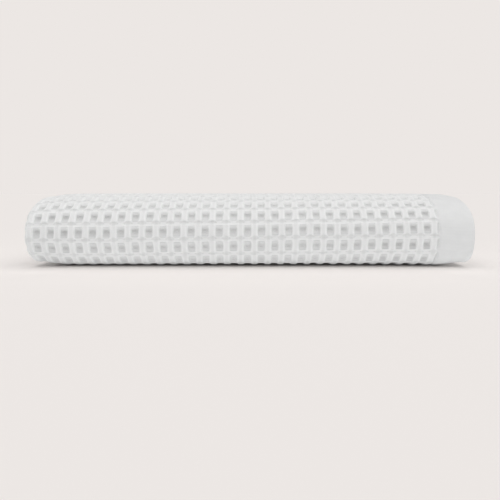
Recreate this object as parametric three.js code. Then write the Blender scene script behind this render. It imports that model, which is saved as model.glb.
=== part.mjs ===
// A bath sheet of white cotton waffle cloth, folded away for a shelf. The cloth is one piece: it is
// folded in three across its width into a strip, the strip is doubled, and the doubled strip is
// folded in three again, so that six strips of three plies lie on each other and one smooth fold
// faces the front.
//
// Millimetres. X runs along the front fold, Y from the front to the back, Z up. The origin is on the
// surface that the sheet rests on, under the middle of its box.

import * as THREE from "three";

// The cloth, flat
const CLOTH_WIDTH = 1016;
const CLOTH_LENGTH = 1778;
const PLY = 2.63; // thickness over the ridges of the waffle
const HEM_PLY = 2.0; // thickness of the plain hem
const HEM_WIDTH = 27;
const HEM_SLOPE = 2.5; // width over which the cloth thins to the hem

// The plies of the strip
const PLY_GAP = 0.6;
const PITCH = PLY + PLY_GAP;
const STRIP_WIDTH = 345;
const HIDDEN_FOLD_INSET = 8; // from the outer hem to the middle of the fold behind it

// The strips of the stack, ranked from the bottom
const STRIPS = 6;
const STRIP_PITCH = 3 * PITCH;
const STRIP_HALF = PITCH + PLY / 2;
const HEIGHT = STRIPS * STRIP_PITCH - PLY_GAP;
const rankHeight = (rank) => STRIP_HALF + rank * STRIP_PITCH;
const RANK = {
  outerBottom: 0,
  innerBottom: 1,
  innerEnd: 2,
  outerEnd: 3,
  innerTop: 4,
  outerTop: 5,
};

// The folds of the strip, in the order in which it runs from its inner end to its outer one. slip is
// how far the strip lies along X there, because no strip is folded quite straight.
const FOLD = {
  innerEnd: { slip: 0.5 },
  innerBack: { slip: 1.1 },
  innerFront: { slip: -0.5 },
  topBack: { slip: 0.8 },
  outerFront: { slip: 0 },
  outerBack: { slip: -0.9 },
  outerEnd: { slip: -0.3 },
};
const TOP_FOLD_INSET = 3.5; // how far the upper back fold stands in from the lower one
const INNER_END_DEPTH = 47; // from the front of the sheet to the strip's inner end
const OUTER_END_STEPS = 3; // steps by which the strip's outer end follows the front fold down

// The outer face of the front fold, from the bottom up: arcs with their angles in degrees, seen with
// Y to the right and Z up. The last one is as round as it must be to end at the top of the stack.
const NOSE = [
  { radius: 24.3, from: 270, to: 180, steps: 8 },
  { radius: 27, from: 180, to: 120, steps: 5 },
  { radius: 0, from: 120, to: 90, steps: 5 },
];

// Steps of the half turns at the back of the strip and at the sides of its plies
const LOWER_BACK_STEPS = 14;
const TOP_BACK_STEPS = 10;
const LEFT_STEPS = 8;
const RIGHT_STEPS = 6;

const rad = THREE.MathUtils.degToRad;

// Gives each arc of the front fold its centre, each one tangent to the one before.
function placeNose(rows) {
  const arcs = [];
  let y = 0;
  let z = 0;
  rows.forEach((row, i) => {
    const first = rad(row.from);
    const last = rad(row.to);
    const solved = (HEIGHT - z) / (Math.sin(last) - Math.sin(first));
    const radius = row.radius || solved;
    const centre = new THREE.Vector2(y - radius * Math.cos(first), z - radius * Math.sin(first));
    if (i === 0) centre.x = radius;
    arcs.push({ centre, radius, first, last, steps: row.steps });
    y = centre.x + radius * Math.cos(last);
    z = centre.y + radius * Math.sin(last);
  });
  return arcs;
}

const nose = placeNose(NOSE);
const noseBottomY = nose[0].centre.x;
const noseTopY = nose[nose.length - 1].centre.x;

// Length of the strip's middle round the front fold, at an inset from the fold's outer face.
const noseLength = (inset) =>
  nose.reduce((sum, arc) => sum + (arc.radius - inset) * Math.abs(arc.last - arc.first), 0);

// The radii and heights of the back folds
const innerBackRadius = (rankHeight(RANK.innerEnd) - rankHeight(RANK.innerBottom)) / 2;
const outerBackRadius = (rankHeight(RANK.outerEnd) - rankHeight(RANK.outerBottom)) / 2;
const topBackRadius = (rankHeight(RANK.outerTop) - rankHeight(RANK.innerTop)) / 2;
const lowerBackZ = rankHeight(RANK.outerBottom) + outerBackRadius;
const upperBackZ = rankHeight(RANK.innerTop) + topBackRadius;

// The strip's outer end follows the last arc of the front fold, inside it.
const endArc = nose[nose.length - 1];
const endRadius = endArc.radius - (HEIGHT - rankHeight(RANK.outerEnd));
const endTurn = ((endArc.first - endArc.last) * OUTER_END_STEPS) / endArc.steps;

// How far back the lower folds' middle lies, so that the whole strip is as long as the cloth.
function solveBackY() {
  const upperFromLower = outerBackRadius - topBackRadius - TOP_FOLD_INSET;
  const arcs =
    Math.PI * (innerBackRadius + outerBackRadius + topBackRadius) +
    noseLength(rankHeight(RANK.outerBottom)) +
    noseLength(rankHeight(RANK.innerBottom)) +
    endRadius * endTurn;
  const starts = INNER_END_DEPTH + 2 * noseBottomY + 3 * noseTopY - 2 * upperFromLower;
  const lowerY = (CLOTH_LENGTH - arcs + starts) / STRIPS;
  return { lowerY, upperY: lowerY + upperFromLower };
}

const { lowerY, upperY } = solveBackY();

// One fold of the strip: arcs, and the slip that its stations have.
const noseFold = (inset, up, fold) => {
  const rows = up ? nose : [...nose].reverse();
  return rows.map((arc) => ({
    centre: arc.centre,
    radius: arc.radius - inset,
    first: up ? arc.first : arc.last,
    last: up ? arc.last : arc.first,
    steps: arc.steps,
    ...fold,
  }));
};
const backFold = (y, z, radius, up, steps, fold) => ({
  centre: new THREE.Vector2(y, z),
  radius,
  first: rad(up ? -90 : 90),
  last: rad(up ? 90 : -90),
  steps,
  ...fold,
});

const stripArcs = [
  backFold(lowerY, lowerBackZ, innerBackRadius, false, LOWER_BACK_STEPS, FOLD.innerBack),
  ...noseFold(rankHeight(RANK.innerBottom), true, FOLD.innerFront),
  backFold(upperY, upperBackZ, topBackRadius, true, TOP_BACK_STEPS, FOLD.topBack),
  ...noseFold(rankHeight(RANK.outerBottom), false, FOLD.outerFront),
  backFold(lowerY, lowerBackZ, outerBackRadius, true, LOWER_BACK_STEPS, FOLD.outerBack),
  {
    centre: endArc.centre,
    radius: endRadius,
    first: rad(90),
    last: rad(90) + endTurn,
    steps: OUTER_END_STEPS,
    ...FOLD.outerEnd,
  },
];

// Points along an arc, both ends included, with their directions of travel.
function arcStations({ centre, radius, first, last, steps, slip }) {
  const sense = Math.sign(last - first);
  return Array.from({ length: steps + 1 }, (_, i) => {
    const angle = first + ((last - first) * i) / steps;
    const out = new THREE.Vector2(Math.cos(angle), Math.sin(angle));
    return {
      at: out.clone().multiplyScalar(radius).add(centre),
      along: new THREE.Vector2(-out.y * sense, out.x * sense),
      slip,
    };
  });
}

// Leaves out a station that repeats the one before it, where two arcs meet.
const withoutRepeats = (stations) =>
  stations.filter((station, i) => i === 0 || station.at.distanceTo(stations[i - 1].at) > 1e-3);

// The strip's middle line in the YZ plane, from its inner end to its outer one.
function stripLine() {
  const start = {
    at: new THREE.Vector2(INNER_END_DEPTH, rankHeight(RANK.innerEnd)),
    along: new THREE.Vector2(1, 0),
    slip: FOLD.innerEnd.slip,
  };
  return withoutRepeats([start, ...stripArcs.flatMap(arcStations)]);
}

// The middle line of the plies in the strip's section, from the outer hem to the inner one. The
// first coordinate is X, the second points out of the front fold.
function plyLine() {
  const leftX = -STRIP_WIDTH / 2 + STRIP_HALF;
  const hemX = STRIP_WIDTH / 2;
  const rightX = hemX - HIDDEN_FOLD_INSET;
  const rightRadius = PITCH / 2;
  const used = hemX - leftX + Math.PI * PITCH + (rightX - leftX) + Math.PI * rightRadius;
  const innerHemX = rightX - (CLOTH_WIDTH - used);
  const flat = (x, out, half) => ({
    at: new THREE.Vector2(x, out),
    along: new THREE.Vector2(-1, 0),
    half,
  });
  const left = {
    centre: new THREE.Vector2(leftX, 0),
    radius: PITCH,
    first: rad(90),
    last: rad(270),
    steps: LEFT_STEPS,
  };
  const right = {
    centre: new THREE.Vector2(rightX, -rightRadius),
    radius: rightRadius,
    first: rad(-90),
    last: rad(90),
    steps: RIGHT_STEPS,
  };
  return [
    flat(hemX, PITCH, HEM_PLY / 2),
    flat(hemX - HEM_WIDTH, PITCH, HEM_PLY / 2),
    flat(hemX - HEM_WIDTH - HEM_SLOPE, PITCH, PLY / 2),
    ...arcStations(left),
    ...arcStations(right),
    flat(innerHemX + HEM_WIDTH + HEM_SLOPE, 0, PLY / 2),
    flat(innerHemX + HEM_WIDTH, 0, HEM_PLY / 2),
    flat(innerHemX, 0, HEM_PLY / 2),
  ];
}

// The plies as a closed outline: down one face of the cloth and back up the other.
function plyOutline() {
  const face = (side) =>
    plyLine().map(({ at, along, half = PLY / 2 }) =>
      new THREE.Vector2(-along.y, along.x).multiplyScalar(side * half).add(at),
    );
  return [...face(1), ...face(-1).reverse()];
}

// The outline carried along the strip's line, closed at both ends.
function foldedCloth() {
  const outline = plyOutline();
  const line = stripLine();
  const size = outline.length;
  const positions = line.flatMap(({ at, along, slip }) =>
    outline.flatMap((p) => [p.x + slip, at.x + along.y * p.y, at.y - along.x * p.y]),
  );
  const index = [];
  for (let i = 0; i + 1 < line.length; i++) {
    for (let j = 0; j < size; j++) {
      const a = i * size + j;
      const b = i * size + ((j + 1) % size);
      index.push(a, b + size, b, a, a + size, b + size);
    }
  }
  const lastRing = (line.length - 1) * size;
  for (const [a, b, c] of THREE.ShapeUtils.triangulateShape(outline, [])) {
    index.push(a, c, b, lastRing + a, lastRing + b, lastRing + c);
  }
  const geometry = new THREE.BufferGeometry();
  geometry.setAttribute("position", new THREE.Float32BufferAttribute(positions, 3));
  geometry.setIndex(index);
  geometry.computeBoundingBox();
  const middle = geometry.boundingBox.getCenter(new THREE.Vector3());
  geometry.translate(-middle.x, -middle.y, -geometry.boundingBox.min.z);
  geometry.computeVertexNormals();
  return geometry;
}

const cotton = new THREE.MeshStandardMaterial({ color: 0xeceeee, roughness: 0.95, metalness: 0 });

const bathSheet = new THREE.Mesh(foldedCloth(), cotton);
bathSheet.name = "bath_sheet";

const part = new THREE.Group();
part.name = "folded_bath_sheet";
part.add(bathSheet);

export default part;
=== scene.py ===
"""A folded bath sheet of white waffle-weave cotton, dressed round its solid.

The cloth is laid out flat as grids, one for each stretch of it, and every grid is folded by the same
two fold lines: one across the width, which makes three plies, and one along the length, which makes
six strips. Lengths are in metres, and the frame is the solid's: X along the front fold, Y from the
front to the back, Z up.
"""

from __future__ import annotations

import logging
import math
from dataclasses import dataclass, field
from enum import Enum
from typing import Sequence

import bmesh
import bpy
import numpy as np
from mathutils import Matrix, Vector

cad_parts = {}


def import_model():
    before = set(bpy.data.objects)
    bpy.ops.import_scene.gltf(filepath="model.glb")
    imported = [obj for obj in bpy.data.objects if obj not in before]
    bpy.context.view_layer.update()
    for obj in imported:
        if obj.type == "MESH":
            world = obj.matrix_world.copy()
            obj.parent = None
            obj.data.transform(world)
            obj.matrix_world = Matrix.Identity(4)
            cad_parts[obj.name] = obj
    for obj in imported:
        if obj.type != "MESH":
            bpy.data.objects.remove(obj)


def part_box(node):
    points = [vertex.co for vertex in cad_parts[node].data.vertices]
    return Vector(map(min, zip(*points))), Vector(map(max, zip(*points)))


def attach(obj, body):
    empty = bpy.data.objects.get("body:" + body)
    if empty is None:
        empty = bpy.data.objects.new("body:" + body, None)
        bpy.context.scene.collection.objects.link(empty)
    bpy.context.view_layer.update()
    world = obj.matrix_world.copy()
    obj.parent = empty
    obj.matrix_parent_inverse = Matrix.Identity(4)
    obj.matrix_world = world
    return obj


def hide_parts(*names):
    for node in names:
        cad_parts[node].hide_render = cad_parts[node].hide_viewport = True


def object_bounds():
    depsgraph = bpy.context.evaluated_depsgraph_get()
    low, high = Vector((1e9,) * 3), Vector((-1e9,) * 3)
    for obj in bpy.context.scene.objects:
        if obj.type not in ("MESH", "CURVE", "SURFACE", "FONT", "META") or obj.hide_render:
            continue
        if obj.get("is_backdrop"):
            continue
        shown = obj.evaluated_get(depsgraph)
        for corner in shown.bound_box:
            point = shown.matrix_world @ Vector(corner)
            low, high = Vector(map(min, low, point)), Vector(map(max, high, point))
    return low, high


MM = 0.001
NODE = "bath_sheet"
BODY = "root"
CLOTH_MAP = "cloth"
SEED = 41

Array = np.ndarray
Colour = tuple[float, float, float]
log = logging.getLogger("bath_sheet")


# Fold lines


@dataclass(frozen=True)
class Stretch:
    """One straight or one round stretch of a fold line.

    Args:
        at: where it starts, in the plane of the line.
        heading: the direction in which it starts, in radians.
        length: how long it is.
        curve: how fast it turns to the left, in radians a metre; 0 is straight.
    """

    at: tuple[float, float]
    heading: float
    length: float
    curve: float

    def places(self, along: Array) -> tuple[Array, Array]:
        """Points and headings at some distances along the stretch.

        Args:
            along: distances from its start.

        Returns:
            The points, one a row, and the headings.
        """
        heading = self.heading + self.curve * along
        if self.curve:
            x = self.at[0] + (np.sin(heading) - math.sin(self.heading)) / self.curve
            y = self.at[1] - (np.cos(heading) - math.cos(self.heading)) / self.curve
        else:
            x = self.at[0] + along * math.cos(self.heading)
            y = self.at[1] + along * math.sin(self.heading)
        return np.stack([x, y], axis=1), heading

    def end(self) -> tuple[tuple[float, float], float]:
        """The point and the heading at the stretch's end."""
        point, heading = self.places(np.array([self.length]))
        return (float(point[0, 0]), float(point[0, 1])), float(heading[0])


@dataclass
class FoldLine:
    """A line of straights and arcs that a grid is folded along, with the cloth's face on its right.

    Args:
        at: where the line starts, and then where it has got to.
        heading: its direction there, in radians.
        out: how far the face stands to the right of the line that go and turn describe.
        stretches: what it is made of so far.
        knots: distances along it at which its stretches start, and its length so far.
        marks: distances along it of the places that have a name.
    """

    at: tuple[float, float]
    heading: float
    out: float = 0.0
    stretches: list[Stretch] = field(default_factory=list)
    knots: list[float] = field(default_factory=lambda: [0.0])
    marks: dict[str, float] = field(default_factory=dict)

    def __post_init__(self) -> None:
        """Moves the start from the described line to the face."""
        right = self.heading - math.pi / 2
        self.at = (
            self.at[0] + self.out * math.cos(right),
            self.at[1] + self.out * math.sin(right),
        )

    @property
    def length(self) -> float:
        """The length of the line so far, on the face."""
        return self.knots[-1]

    def _add(self, length: float, curve: float) -> None:
        """Adds a stretch at the end.

        Args:
            length: of the stretch, on the face.
            curve: how fast it turns to the left, in radians a metre.
        """
        stretch = Stretch(self.at, self.heading, length, curve)
        self.stretches.append(stretch)
        self.knots.append(self.length + length)
        self.at, self.heading = stretch.end()

    def go(self, length: float) -> FoldLine:
        """Runs straight on."""
        self._add(length, 0.0)
        return self

    def turn(self, radius: float, degrees: float) -> FoldLine:
        """Turns to the left, or to the right where degrees is negative.

        Args:
            radius: of the described line, from which the face's own is worked out.
            degrees: how far it turns.

        Returns:
            The line itself.
        """
        side = math.copysign(1.0, degrees)
        face = radius + side * self.out
        self._add(face * abs(math.radians(degrees)), side / face)
        return self

    def mark(self, name: str) -> FoldLine:
        """Gives the place reached so far a name."""
        self.marks[name] = self.length
        return self

    def stretch_before(self, name: str) -> float:
        """The length of the stretch that ends at a marked place."""
        stop = self.knots.index(self.marks[name])
        return self.knots[stop] - self.knots[stop - 1]

    def places(self, along: Array) -> tuple[Array, Array]:
        """Points of the face, and the direction that it faces, at distances along the line.

        Args:
            along: distances from the line's start.

        Returns:
            The points and the unit normals, one a row.
        """
        which = np.clip(np.searchsorted(self.knots, along, side="right") - 1, 0, len(self.stretches) - 1)
        points = np.empty((len(along), 2))
        normals = np.empty((len(along), 2))
        for i, stretch in enumerate(self.stretches):
            here = which == i
            points[here], heading = stretch.places(along[here] - self.knots[i])
            normals[here] = np.stack([np.sin(heading), -np.cos(heading)], axis=1)
        return points, normals


# The cloth and how it is folded


class Rank(Enum):
    """The strips of the stack, counted from the bottom."""

    OUTER_BOTTOM = 0
    INNER_BOTTOM = 1
    INNER_END = 2
    OUTER_END = 3
    INNER_TOP = 4
    OUTER_TOP = 5


@dataclass(frozen=True)
class NoseArc:
    """One arc of the outer face of the front fold: its radius, and how far it turns in degrees."""

    radius: float
    degrees: float


@dataclass(frozen=True)
class ClothSizes:
    """The sizes of the cloth and of its folds, from which everything else is worked out.

    Args:
        width: of the flat cloth.
        length: of the flat cloth.
        ply: thickness of the waffle, from ridge to ridge.
        hem_ply: thickness of the hems.
        hem_width: how wide the hems are.
        hem_slope: over how much width the waffle thins to the hem.
        hem_turned_under: how far the plies' line runs under the outer hem.
        ply_gap: room between two plies.
        strip_width: width of the strip of three plies.
        hidden_fold_inset: how far inside the outer hem's edge the fold at the right starts.
        top_fold_inset: how far the upper back fold stays in front of the lower one.
        inner_end_depth: how far behind the front the strip starts.
        outer_end_degrees: how far the strip's outer end goes round the front fold.
        lower_nose: the front fold's lowest arc.
        middle_nose: the arc over it.
        upper_nose_degrees: how far the highest arc turns.
    """

    width: float = 1016 * MM
    length: float = 1778 * MM
    ply: float = 2.63 * MM
    hem_ply: float = 2.0 * MM
    hem_width: float = 27 * MM
    hem_slope: float = 2.5 * MM
    hem_turned_under: float = 24 * MM
    ply_gap: float = 0.6 * MM
    strip_width: float = 345 * MM
    hidden_fold_inset: float = 8 * MM
    top_fold_inset: float = 3.5 * MM
    inner_end_depth: float = 47 * MM
    outer_end_degrees: float = 18.0
    lower_nose: NoseArc = NoseArc(24.3 * MM, 90)
    middle_nose: NoseArc = NoseArc(27 * MM, 60)
    upper_nose_degrees: float = 30

    @property
    def pitch(self) -> float:
        """From one ply to the next."""
        return self.ply + self.ply_gap

    @property
    def strip_half(self) -> float:
        """From the middle of a strip of three plies to its outer face."""
        return self.pitch + self.ply / 2

    @property
    def height(self) -> float:
        """Height of the whole stack."""
        return len(Rank) * 3 * self.pitch - self.ply_gap

    def rank_height(self, rank: Rank) -> float:
        """Height of the middle of a strip."""
        return self.strip_half + rank.value * 3 * self.pitch

    @property
    def nose(self) -> tuple[NoseArc, ...]:
        """The arcs of the front fold, the last one solved from the height.

        Returns:
            The arcs from the bottom up.
        """
        lower, middle = self.lower_nose, self.middle_nose
        rise = lower.radius + middle.radius * math.sin(math.radians(middle.degrees))
        last = (self.height - rise) / (1 - math.cos(math.radians(self.upper_nose_degrees)))
        return lower, middle, NoseArc(last, self.upper_nose_degrees)

    @property
    def nose_top_y(self) -> float:
        """How far behind the front the top of the stack becomes level.

        Returns:
            The distance along Y.
        """
        middle, upper = self.nose[1:]
        at_middle = middle.radius * (1 - math.cos(math.radians(middle.degrees)))
        return at_middle + upper.radius * math.sin(math.radians(upper.degrees))

    def back_radius(self, low: Rank, high: Rank) -> float:
        """Radius of the middle of a strip where it folds at the back from one rank to another."""
        return (self.rank_height(high) - self.rank_height(low)) / 2

    def nose_length(self, inset: float) -> float:
        """Length of a line round the front fold.

        Args:
            inset: how far the line runs inside the fold's outer face.

        Returns:
            Its length.
        """
        return sum((arc.radius - inset) * math.radians(arc.degrees) for arc in self.nose)

    @property
    def end_radius(self) -> float:
        """Radius on which the strip's outer end follows the top of the front fold."""
        return self.nose[2].radius - (self.height - self.rank_height(Rank.OUTER_END))

    @property
    def back_y(self) -> tuple[float, float]:
        """How far back the middles of the two back folds lie, so that the strip uses up the cloth.

        Returns:
            The distances of the lower and of the upper fold.
        """
        inner = self.back_radius(Rank.INNER_BOTTOM, Rank.INNER_END)
        outer = self.back_radius(Rank.OUTER_BOTTOM, Rank.OUTER_END)
        top = self.back_radius(Rank.INNER_TOP, Rank.OUTER_TOP)
        upper_from_lower = outer - top - self.top_fold_inset
        arcs = (
            math.pi * (inner + outer + top)
            + self.nose_length(self.rank_height(Rank.OUTER_BOTTOM))
            + self.nose_length(self.rank_height(Rank.INNER_BOTTOM))
            + self.end_radius * math.radians(self.outer_end_degrees)
        )
        starts = (
            self.inner_end_depth
            + 2 * self.lower_nose.radius
            + 3 * self.nose_top_y
            - 2 * upper_from_lower
        )
        lower = (self.length - arcs + starts) / len(Rank)
        return lower, lower + upper_from_lower


class Slip(Enum):
    """How far the strip lies along X at each of its folds, because none is quite straight."""

    INNER_END = 0.5 * MM
    INNER_BACK = 1.1 * MM
    INNER_FRONT = -0.5 * MM
    TOP_BACK = 0.8 * MM
    OUTER_FRONT = 0.0
    OUTER_BACK = -0.9 * MM
    OUTER_END = -0.3 * MM


@dataclass
class Folding:
    """The two fold lines of the cloth: along its length, and across its width."""

    sizes: ClothSizes

    def strip_line(self, out: float) -> FoldLine:
        """The strip's line in the YZ plane, measured from the front of the stack.

        Args:
            out: how far the line's face stands out from the middle of the strip.

        Returns:
            The line from the strip's inner end to its outer one, with its folds marked.
        """
        s = self.sizes
        lower_y, upper_y = s.back_y
        inner_back = s.back_radius(Rank.INNER_BOTTOM, Rank.INNER_END)
        outer_back = s.back_radius(Rank.OUTER_BOTTOM, Rank.OUTER_END)
        top_back = s.back_radius(Rank.INNER_TOP, Rank.OUTER_TOP)
        bottom_y, top_y = s.lower_nose.radius, s.nose_top_y
        line = FoldLine((s.inner_end_depth, s.rank_height(Rank.INNER_END)), 0.0, out)
        line.mark("INNER_END").mark("INNER_END_END").go(lower_y - s.inner_end_depth)
        line.mark("INNER_BACK").turn(inner_back, -180)
        line.mark("INNER_BACK_END").go(lower_y - bottom_y).mark("INNER_FRONT")
        for arc in s.nose:
            line.turn(arc.radius - s.rank_height(Rank.INNER_BOTTOM), -arc.degrees)
        line.mark("INNER_FRONT_END").go(upper_y - top_y)
        line.mark("TOP_BACK").turn(top_back, 180)
        line.mark("TOP_BACK_END").go(upper_y - top_y).mark("OUTER_FRONT")
        for arc in reversed(s.nose):
            line.turn(arc.radius - s.rank_height(Rank.OUTER_BOTTOM), arc.degrees)
        line.mark("OUTER_FRONT_END").go(lower_y - bottom_y)
        line.mark("OUTER_BACK").turn(outer_back, 180)
        line.mark("OUTER_BACK_END").go(lower_y - top_y).mark("OUTER_END")
        line.turn(s.end_radius, s.outer_end_degrees).mark("OUTER_END_END")
        return line

    def ply_line(self) -> FoldLine:
        """The plies' line across the strip, in the XZ plane.

        Returns:
            The line from under the outer hem to the inner hem's edge, with its folds marked.
        """
        s = self.sizes
        left_x = -s.strip_width / 2 + s.strip_half
        hem_x = s.strip_width / 2
        right_x = hem_x - s.hidden_fold_inset
        outer = hem_x - left_x
        middle = right_x - left_x
        left_radius, right_radius = s.pitch, s.pitch / 2
        inner = s.width - outer - middle - math.pi * (left_radius + right_radius)
        edge_x = hem_x - s.hem_ply / 2
        line = FoldLine((edge_x - s.hem_turned_under, s.pitch), 0.0, s.ply / 2)
        line.go(s.hem_turned_under).mark("HEM_EDGE").turn(0.0, 180)
        line.mark("OUTER_PLY").go(edge_x - left_x).mark("LEFT_FOLD").turn(left_radius, 180)
        line.mark("MIDDLE_PLY").go(middle).mark("RIGHT_FOLD").turn(right_radius, 180)
        line.mark("INNER_PLY").go(inner).mark("INNER_HEM_EDGE")
        return line


# The weave


def ease(x: Array, start: float, stop: float) -> Array:
    """A smooth step from 0 at start to 1 at stop."""
    t = np.clip((x - start) / (stop - start), 0.0, 1.0)
    return t * t * (3 - 2 * t)


@dataclass(frozen=True)
class Waffle:
    """The relief of the waffle: rounded hollows, each in a raised rim of long floats.

    Places are shares of a cell, from the middle of a hollow (0) to the middle of the ridge beside it
    (0.5). A pair of places is where a form starts and where it is full.

    Args:
        across: width of a cell, from ridge to ridge.
        along: its length along the cloth.
        first_hollow_x: where the hollow nearest to the middle of the front is.
        narrower_right: by what share the cells are narrower right of the middle.
        depth: of a hollow under the highest rims.
        rim_across: where the rims at a hollow's sides are.
        rim_along: where the rims at its ends are.
        side_wall: where the walls at its sides start to rise.
        rounding: how square its corners are.
        slope_power: how gently the walls at its ends start.
        pair: what share of a cell a pair of weft yarns takes up.
        pair_steps: how clearly the pairs climb in steps.
        side_dip: how far the middle of a ridge at the sides dips between its rims.
        side_dip_at: where that sets in across the cloth.
        side_dip_fade: where it fades out along the cloth.
        saddle_dip: how far a ridge at the ends dips between its crossings.
        saddle_across: where that fades out across the cloth.
        saddle_along: where it sets in along the cloth.
        arch_dip: depth of the arched dimples of the crossings.
        arch_half: half of their width.
        arch_rise: how far they bow.
        arch_edges: how wide their upper edge and their lower one are.
        arch_turn: how far on both sides of the ridge the one edge gives way to the other.
        pair_groove: depth of the grooves between the pairs of weft yarns.
        pair_width: half of their width.
        pair_bow: how far they bow.
        pair_bow_half: half of the width over which they do.
        pairs_across: where they fade out at the sides.
        pairs_along: where they fade out at the rims; their relief stops at the second place.
        wedge: slope of the diagonals of the hollow beyond which they lie.
        wedge_fade: how softly they start there.
    """

    across: float = 10.742 * MM
    along: float = 12.7 * MM
    first_hollow_x: float = -1.3 * MM
    narrower_right: float = 0.017
    depth: float = 2.45 * MM
    rim_across: float = 0.335
    rim_along: float = 0.395
    side_wall: float = 0.15
    rounding: float = 2.3
    slope_power: float = 1.35
    pair: float = 0.2
    pair_steps: float = 0.75
    side_dip: float = 0.12 * MM
    side_dip_at: tuple[float, float] = (0.355, 0.43)
    side_dip_fade: tuple[float, float] = (0.33, 0.45)
    saddle_dip: float = 0.45 * MM
    saddle_across: tuple[float, float] = (0.18, 0.33)
    saddle_along: tuple[float, float] = (0.33, 0.42)
    arch_dip: float = 1.0 * MM
    arch_half: float = 0.35
    arch_rise: float = 0.16
    arch_edges: tuple[float, float] = (0.05, 0.12)
    arch_turn: float = 0.08
    pair_groove: float = 0.22 * MM
    pair_width: float = 0.055
    pair_bow: float = 0.03
    pair_bow_half: float = 0.3
    pairs_across: tuple[float, float] = (0.2, 0.3)
    pairs_along: tuple[float, float] = (0.36, 0.4)
    wedge: float = 0.75
    wedge_fade: tuple[float, float] = (0.0, 0.07)

    def relief(self, across: Array, along: Array) -> Array:
        """Height of the face under its highest rims.

        Args:
            across: places across the cloth in cells, whole numbers at the middles of hollows.
            along: places along the cloth in cells, likewise.

        Returns:
            Heights in metres, 0 or less.
        """
        a = np.abs(across - np.round(across))
        b = np.abs(along - np.round(along))
        height = self.depth * (self._rise(a, b) - 1)
        side = ease(a, *self.side_dip_at)
        height -= self.side_dip * side * (1 - ease(b, *self.side_dip_fade))
        saddle = (1 - ease(a, *self.saddle_across)) * ease(b, *self.saddle_along)
        height -= self.saddle_dip * saddle
        height -= self.arch_dip * self._arches(a, along)
        return height - self.pair_groove * self._grooves(a, b)

    def _arches(self, a: Array, along: Array) -> Array:
        """The arched dimples of the crossings, whose edge is steep where a ridge ends at them.

        Args:
            a: distances across from the middle of the hollow, in cells.
            along: places along the cloth in cells.

        Returns:
            1 in the dimples, 0 outside.
        """
        below = along - np.floor(along) - 0.5
        inside = self.arch_rise * (1 - ((0.5 - a) / self.arch_half) ** 2) - np.abs(below)
        steep, gentle = self.arch_edges
        edge = steep + (gentle - steep) * ease(below, -self.arch_turn, self.arch_turn)
        return ease(inside / edge, 0.0, 1.0)

    def _rise(self, a: Array, b: Array) -> Array:
        """How high the walls of a hollow stand.

        The walls at its sides are steep. Along the cloth, each pair of weft yarns is a step.

        Args:
            a: distances across from the middle of the hollow, in cells.
            b: distances along from it, in cells.

        Returns:
            The height, from 0 in the middle to 1 on the rim.
        """
        turn = self.pair / (2 * math.pi)
        stepped = b - self.pair_steps * turn * np.sin(b / turn)
        side = ease(a, self.side_wall, self.rim_across)
        slope = np.sin(math.pi / 2 * np.clip(stepped / self.rim_along, 0.0, 1.0)) ** self.slope_power
        return np.minimum((side**self.rounding + slope**self.rounding) ** (1 / self.rounding), 1.0)

    def _grooves(self, a: Array, b: Array) -> Array:
        """The grooves between the pairs of weft yarns that climb the walls along the cloth.

        Args:
            a: distances across from the middle of the hollow, in cells.
            b: distances along from it, in cells.

        Returns:
            1 in the grooves, 0 outside.
        """
        steps = (b - self.pair_bow * (1 - (a / self.pair_bow_half) ** 2)) / self.pair - 0.5
        groove = 1 - ease(np.abs(steps - np.round(steps)) * self.pair, 0.0, self.pair_width)
        groove = groove * ease(b - self.wedge * a, *self.wedge_fade)
        return groove * (1 - ease(a, *self.pairs_across)) * (b < self.pairs_along[1])


@dataclass
class SoftNoise:
    """Smooth noise on a lattice, the same on every run.

    Args:
        seed: of its random numbers.
        size: lattice points each way, after which it repeats.
    """

    seed: int
    size: int = 64

    def __post_init__(self) -> None:
        """Draws the lattice."""
        self.lattice = np.random.default_rng(self.seed).uniform(-1, 1, (self.size, self.size))

    def at(self, x: Array, y: Array) -> Array:
        """Noise at places in lattice steps.

        Args:
            x: places one way.
            y: places the other way.

        Returns:
            Numbers from -1 to 1.
        """
        x0, y0 = np.floor(x).astype(int), np.floor(y).astype(int)
        fx, fy = ease(x - x0, 0, 1), ease(y - y0, 0, 1)
        low = self._corner(x0, y0) * (1 - fx) + self._corner(x0 + 1, y0) * fx
        high = self._corner(x0, y0 + 1) * (1 - fx) + self._corner(x0 + 1, y0 + 1) * fx
        return low * (1 - fy) + high * fy

    def _corner(self, x: Array, y: Array) -> Array:
        """The drawn numbers at whole places."""
        return self.lattice[x % self.size, y % self.size]


@dataclass(frozen=True)
class Sag:
    """How far the cloth is out of its even place towards a side of the stack.

    Args:
        start: how far from the middle of the stack that starts.
        stop: how far from the middle it is full.
        depth: how far the cloth is out there.
    """

    start: float
    stop: float
    depth: float

    def depth_at(self, x: Array) -> Array:
        """How far the cloth is out at distances from the middle."""
        return self.depth * ease(x, self.start, self.stop)


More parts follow.
